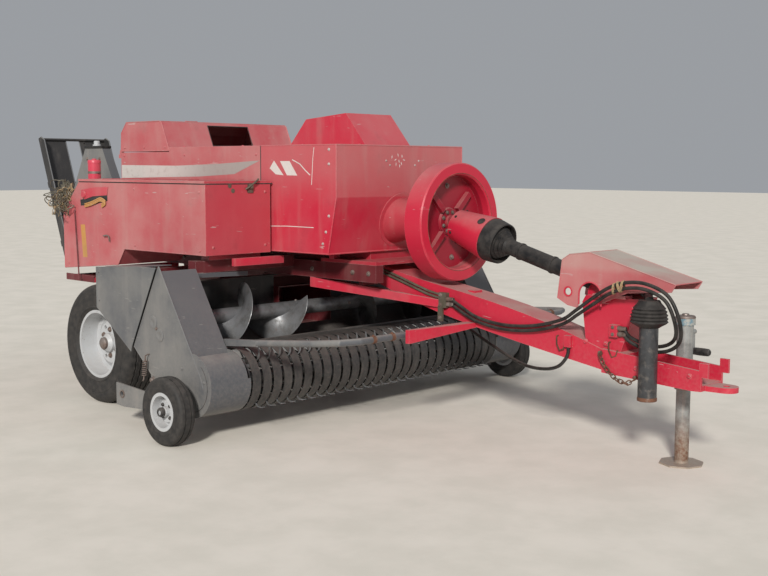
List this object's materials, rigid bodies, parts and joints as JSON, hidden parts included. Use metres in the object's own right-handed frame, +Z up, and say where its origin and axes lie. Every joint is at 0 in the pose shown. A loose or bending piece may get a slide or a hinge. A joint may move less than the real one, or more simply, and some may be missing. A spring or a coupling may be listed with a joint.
{
  "type": "square baler",
  "caption": "Towed in-line square baler with a low pickup, a long bale case, twine boxes, a flywheel, a drawbar with a jack and a folded bale chute.",
  "frame": {"origin": "centre of the bounding box on the ground plane", "axes": "+X towards the hitch, +Y to the machine's left, +Z up"},
  "size_m": [5.8496, 2.98, 1.792],
  "materials": {
    "red_frame": "worn dusty paint",
    "red_front": "satin paint with dust and scratches",
    "red_cover": "sun-faded dusty paint",
    "canister_red": "gloss paint",
    "gearbox_paint": "oily dusty paint",
    "grey_panel": "dusty satin paint",
    "dark_steel": "dusty charcoal paint",
    "worn_steel": "worn bare steel with dust",
    "jack_paint": "chipped grey paint",
    "black_plastic": "dusty ribbed plastic",
    "tyre": "dusty rubber",
    "rim_silver": "silver paint with rust freckles",
    "line_steel": "rusty steel tube",
    "hose": "dusty black hose"
  },
  "bodies": {
    "chassis": {"axle_beam": "red_frame", "bale_case": "red_frame", "main_frame": "red_frame", "gearbox": "gearbox_paint", "tongue": "red_front", "pto_post": "red_front", "pto_cover": "red_cover", "jack": "jack_paint", "clutch_guard": "red_front", "pto_rear": "black_plastic", "pto_front": "black_plastic", "front_shield": "red_front", "upper_body": "red_cover", "front_hood": "red_front", "knotters": "dark_steel", "needles": "red_frame", "twine_box_right": "red_cover", "twine_box_left": "red_cover", "side_guard_right": "grey_panel", "side_guard_left": "grey_panel", "feeder_pan": "dark_steel", "feeder_duct": "red_frame", "density_tower": "grey_panel", "step": "red_front", "canister": "canister_red", "steel_lines": "line_steel", "hose_a": "hose", "hose_b": "hose", "hose_lift": "hose", "brace_right": "red_front", "brace_left": "red_front", "guard_hook": "red_front"},
    "main_wheel_right": {"tyre_right": "tyre", "rim_right": "rim_silver"},
    "main_wheel_left": {"tyre_left": "tyre", "rim_left": "rim_silver"},
    "flywheel": {"flywheel": "red_front"},
    "auger": {"auger": "worn_steel"},
    "pickup": {"pickup_end_right": "grey_panel", "pickup_end_left": "grey_panel", "strippers": "dark_steel", "gauge_arm_right": "grey_panel", "gauge_arm_left": "grey_panel"},
    "tine_reel": {"tine_reel": "worn_steel"},
    "wind_guard": {"wind_guard": "grey_panel", "guard_arm_right": "grey_panel", "guard_arm_left": "grey_panel"},
    "gauge_wheel_right": {"gauge_tyre_right": "tyre", "gauge_rim_right": "rim_silver"},
    "gauge_wheel_left": {"gauge_tyre_left": "tyre", "gauge_rim_left": "rim_silver"},
    "twine_lid_right": {"twine_lid_right": "red_cover"},
    "twine_lid_left": {"twine_lid_left": "red_cover"},
    "knotter_hood": {"knotter_hood": "red_cover"},
    "chute": {"chute": "dark_steel"}
  },
  "joints": [
    {"name": "main_wheel_right_spin", "type": "hinge", "parent": "chassis", "child": "main_wheel_right", "pos_m": [-0.79515, -1.007, 0.372], "axis": [0, 1, 0], "continuous": true},
    {"name": "main_wheel_left_spin", "type": "hinge", "parent": "chassis", "child": "main_wheel_left", "pos_m": [-0.79515, 1.007, 0.372], "axis": [0, 1, 0], "continuous": true},
    {"name": "flywheel_spin", "type": "hinge", "parent": "chassis", "child": "flywheel", "pos_m": [1.22185, 0, 1.168], "axis": [1, 0, 0], "continuous": true},
    {"name": "auger_spin", "type": "hinge", "parent": "chassis", "child": "auger", "pos_m": [0.06485, 0, 0.6], "axis": [0, 1, 0], "continuous": true},
    {"name": "pickup_lift", "type": "hinge", "parent": "chassis", "child": "pickup", "pos_m": [0.14785, 0, 0.567], "axis": [0, -1, 0], "range_deg": [0, 20]},
    {"name": "tine_reel_spin", "type": "hinge", "parent": "pickup", "child": "tine_reel", "pos_m": [0.47485, 0, 0.31], "axis": [0, 1, 0], "continuous": true},
    {"name": "wind_guard_hinge", "type": "hinge", "parent": "pickup", "child": "wind_guard", "pos_m": [0.42985, 0, 0.512], "axis": [0, -1, 0], "range_deg": [-27, 0]},
    {"name": "gauge_wheel_right_spin", "type": "hinge", "parent": "pickup", "child": "gauge_wheel_right", "pos_m": [0.42885, -1.44, 0.184], "axis": [0, 1, 0], "continuous": true},
    {"name": "gauge_wheel_left_spin", "type": "hinge", "parent": "pickup", "child": "gauge_wheel_left", "pos_m": [0.42885, 1.44, 0.184], "axis": [0, 1, 0], "continuous": true},
    {"name": "twine_lid_right_hinge", "type": "hinge", "parent": "chassis", "child": "twine_lid_right", "pos_m": [-0.93515, -0.548, 1.387], "axis": [-1, 0, 0], "range_deg": [0, 80]},
    {"name": "twine_lid_left_hinge", "type": "hinge", "parent": "chassis", "child": "twine_lid_left", "pos_m": [-0.93515, 0.548, 1.387], "axis": [1, 0, 0], "range_deg": [0, 80]},
    {"name": "knotter_hood_hinge", "type": "hinge", "parent": "chassis", "child": "knotter_hood", "pos_m": [-1.39315, 0, 1.575], "axis": [0, -1, 0], "range_deg": [0, 75]},
    {"name": "chute_fold", "type": "hinge", "parent": "chassis", "child": "chute", "pos_m": [-2.51515, 0, 0.75], "axis": [0, -1, 0], "range_deg": [0, 70]}
  ],
  "couplings": [
    {"joint": "wind_guard_hinge", "follows": "pickup_lift", "ratio": -1.3333}
  ]
}
